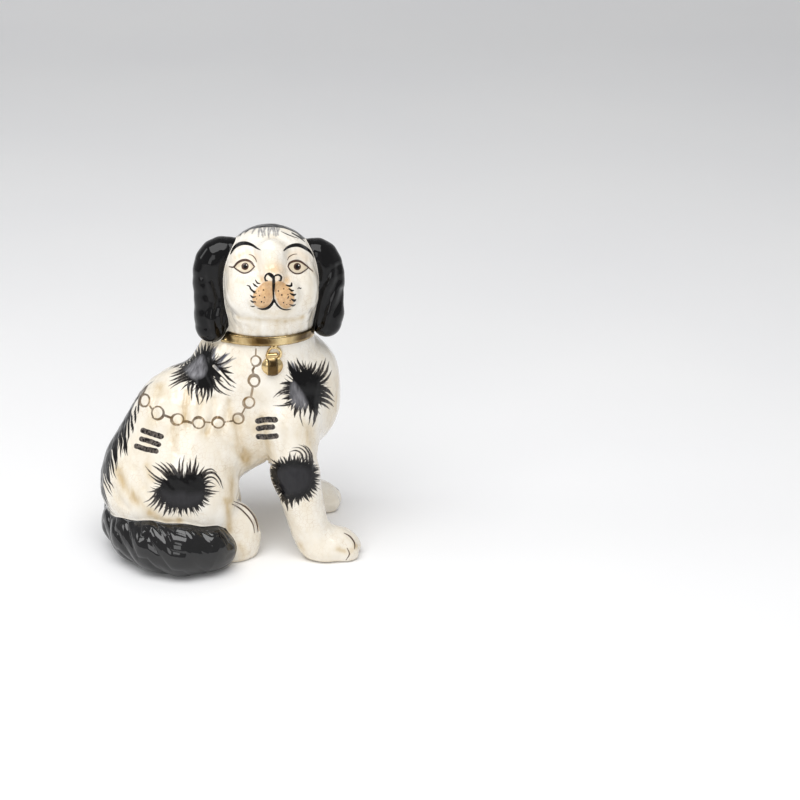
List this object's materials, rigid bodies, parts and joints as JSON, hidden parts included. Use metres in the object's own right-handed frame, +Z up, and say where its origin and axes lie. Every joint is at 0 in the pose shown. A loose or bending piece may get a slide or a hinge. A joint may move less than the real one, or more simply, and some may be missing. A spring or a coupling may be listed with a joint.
{
  "type": "seated spaniel mantel figure",
  "caption": "Glazed earthenware seated spaniel with its head turned to the viewer, black lop ears, a gilt collar and padlock; a free-standing mantel ornament.",
  "frame": {"origin": "bottom centre of the figure's outline, on the standing surface", "axes": "+Z up; the body points along +X and the turned face looks along -Y"},
  "size_m": [0.1728, 0.118, 0.2267],
  "materials": {
    "ivory_glaze": "glossy crackled ivory glaze over cream earthenware, stained tan in the folds, with hand-painted black feathering and a gilt chain",
    "black_enamel": "deep glossy black overglaze, thinner on the raised locks",
    "gold_lustre": "brushed-on gold lustre over glaze, worn to brown at its edges",
    "bare_clay": "unglazed matt buff clay"
  },
  "bodies": {
    "root": {"right_body_shell": "ivory_glaze", "left_body_shell": "ivory_glaze", "foot_slab": "bare_clay", "face_shell": "ivory_glaze", "nape_shell": "ivory_glaze", "right_ear": "black_enamel", "left_ear": "black_enamel", "right_foreleg": "ivory_glaze", "left_foreleg": "ivory_glaze", "right_hind_paw": "ivory_glaze", "left_hind_paw": "ivory_glaze", "tail": "black_enamel", "collar": "gold_lustre", "padlock_case": "gold_lustre", "padlock_shackle": "gold_lustre"}
  },
  "joints": []
}
